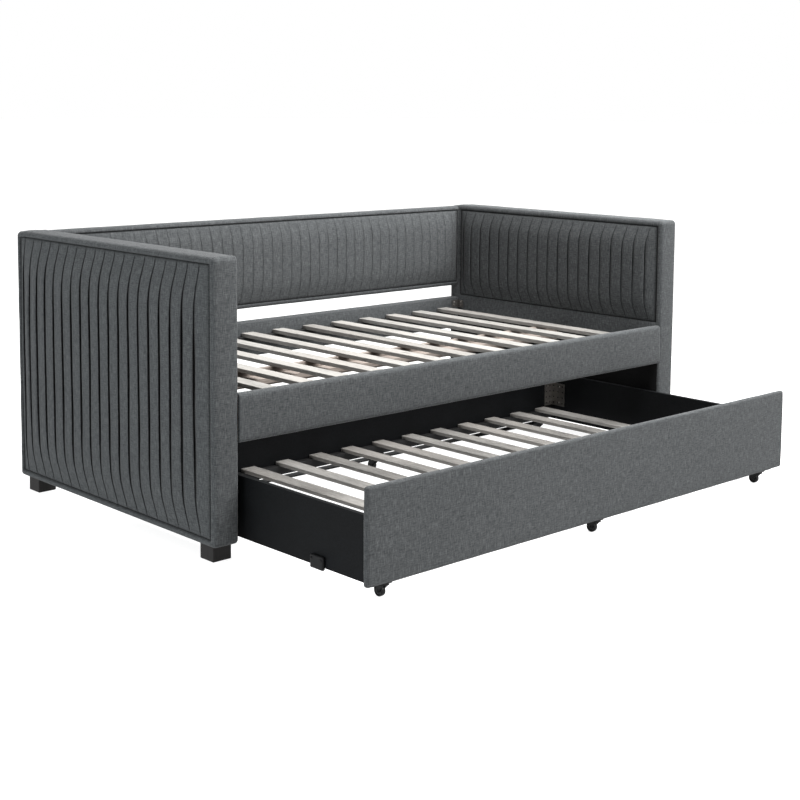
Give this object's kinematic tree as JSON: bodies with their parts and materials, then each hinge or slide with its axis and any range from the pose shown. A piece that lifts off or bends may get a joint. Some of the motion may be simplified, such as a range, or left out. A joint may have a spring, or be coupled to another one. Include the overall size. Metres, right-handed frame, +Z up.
{
  "type": "trundle bed",
  "caption": "Upholstered daybed with pleated arms and back, a slatted deck, and a slatted trundle box that rolls out from under it on swivel casters.",
  "frame": {"origin": "on the floor, at the middle of the box round the whole bed with the trundle drawn out", "axes": "+X along the bed to the right arm as seen from the front, +Y from the trundle's front panel towards the back panel, +Z up"},
  "size_m": [2.16, 1.657, 0.874],
  "materials": {
    "upholstery": "dark grey linen-look weave over foam",
    "pleated_upholstery": "dark grey linen-look weave in knife pleats",
    "frame_board": "raw particle board, hidden",
    "black_lining": "black non-woven lining",
    "foot_wood": "black stained block",
    "zinc_steel": "zinc plated",
    "slat_wood": "pale grey-beige bare softwood",
    "centre_wood": "bare softwood, a little browner",
    "black_wood": "black painted strip",
    "black_board": "board wrapped in black lining",
    "black_steel": "black semi-gloss paint",
    "black_plastic": "black moulded",
    "caster_plastic": "black moulded wheel"
  },
  "bodies": {
    "daybed": {"left_arm_core": "frame_board", "left_arm_casing": "upholstery", "left_arm_outer_pad": "pleated_upholstery", "left_arm_inner_pad": "pleated_upholstery", "left_arm_lining": "black_lining", "right_arm_core": "frame_board", "right_arm_casing": "upholstery", "right_arm_outer_pad": "pleated_upholstery", "right_arm_inner_pad": "pleated_upholstery", "right_arm_lining": "black_lining", "front_left_foot": "foot_wood", "front_right_foot": "foot_wood", "back_left_foot": "foot_wood", "back_right_foot": "foot_wood", "foot_bolts": "zinc_steel", "back_core": "frame_board", "back_casing": "upholstery", "back_pad": "pleated_upholstery", "back_bolts": "zinc_steel", "front_rail_board": "frame_board", "front_rail_cover": "upholstery", "front_ledger": "black_wood", "rear_rail_board": "frame_board", "rear_rail_cover": "upholstery", "rear_ledger": "black_wood", "centre_rail_upright": "centre_wood", "centre_rail_flange": "centre_wood", "deck_brackets": "zinc_steel", "deck_screws": "zinc_steel", "deck_slats": "slat_wood"},
    "trundle": {"trundle_panel_board": "frame_board", "trundle_panel_cover": "upholstery", "trundle_left_board": "black_board", "trundle_right_board": "black_board", "trundle_back_board": "black_board", "trundle_front_ledger": "black_wood", "trundle_rear_ledger": "black_wood", "trundle_corner_plates": "zinc_steel", "side_bumpers": "black_plastic", "trundle_screws": "zinc_steel", "trundle_slats": "slat_wood", "front_caster_bar": "black_steel", "rear_caster_bar": "black_steel", "caster_bar_spacers": "black_wood", "caster_bar_screws": "zinc_steel", "caster_plates": "black_steel", "caster_king_pins": "zinc_steel"},
    "front_left_fork": {"front_left_caster_fork": "black_steel"},
    "front_left_wheel": {"front_left_caster_wheel": "caster_plastic"},
    "front_middle_fork": {"front_middle_caster_fork": "black_steel"},
    "front_middle_wheel": {"front_middle_caster_wheel": "caster_plastic"},
    "front_right_fork": {"front_right_caster_fork": "black_steel"},
    "front_right_wheel": {"front_right_caster_wheel": "caster_plastic"},
    "rear_left_fork": {"rear_left_caster_fork": "black_steel"},
    "rear_left_wheel": {"rear_left_caster_wheel": "caster_plastic"},
    "rear_middle_fork": {"rear_middle_caster_fork": "black_steel"},
    "rear_middle_wheel": {"rear_middle_caster_wheel": "caster_plastic"},
    "rear_right_fork": {"rear_right_caster_fork": "black_steel"},
    "rear_right_wheel": {"rear_right_caster_wheel": "caster_plastic"}
  },
  "joints": [
    {"name": "trundle_slide", "type": "slide", "parent": "daybed", "child": "trundle", "axis": [0, 1, 0], "range_m": [-0.54, 0.546]},
    {"name": "front_left_swivel", "type": "hinge", "parent": "trundle", "child": "front_left_fork", "pos_m": [-0.88, -0.7935, 0.038], "axis": [0, 0, 1], "continuous": true},
    {"name": "front_left_roll", "type": "hinge", "parent": "front_left_fork", "child": "front_left_wheel", "pos_m": [-0.88, -0.7775, 0.017], "axis": [1, 0, 0], "continuous": true},
    {"name": "front_middle_swivel", "type": "hinge", "parent": "trundle", "child": "front_middle_fork", "pos_m": [0, -0.7935, 0.038], "axis": [0, 0, 1], "continuous": true},
    {"name": "front_middle_roll", "type": "hinge", "parent": "front_middle_fork", "child": "front_middle_wheel", "pos_m": [0, -0.7775, 0.017], "axis": [1, 0, 0], "continuous": true},
    {"name": "front_right_swivel", "type": "hinge", "parent": "trundle", "child": "front_right_fork", "pos_m": [0.88, -0.7935, 0.038], "axis": [0, 0, 1], "continuous": true},
    {"name": "front_right_roll", "type": "hinge", "parent": "front_right_fork", "child": "front_right_wheel", "pos_m": [0.88, -0.7775, 0.017], "axis": [1, 0, 0], "continuous": true},
    {"name": "rear_left_swivel", "type": "hinge", "parent": "trundle", "child": "rear_left_fork", "pos_m": [-0.88, 0.2235, 0.038], "axis": [0, 0, 1], "continuous": true},
    {"name": "rear_left_roll", "type": "hinge", "parent": "rear_left_fork", "child": "rear_left_wheel", "pos_m": [-0.88, 0.2395, 0.017], "axis": [1, 0, 0], "continuous": true},
    {"name": "rear_middle_swivel", "type": "hinge", "parent": "trundle", "child": "rear_middle_fork", "pos_m": [0, 0.2235, 0.038], "axis": [0, 0, 1], "continuous": true},
    {"name": "rear_middle_roll", "type": "hinge", "parent": "rear_middle_fork", "child": "rear_middle_wheel", "pos_m": [0, 0.2395, 0.017], "axis": [1, 0, 0], "continuous": true},
    {"name": "rear_right_swivel", "type": "hinge", "parent": "trundle", "child": "rear_right_fork", "pos_m": [0.88, 0.2235, 0.038], "axis": [0, 0, 1], "continuous": true},
    {"name": "rear_right_roll", "type": "hinge", "parent": "rear_right_fork", "child": "rear_right_wheel", "pos_m": [0.88, 0.2395, 0.017], "axis": [1, 0, 0], "continuous": true}
  ]
}
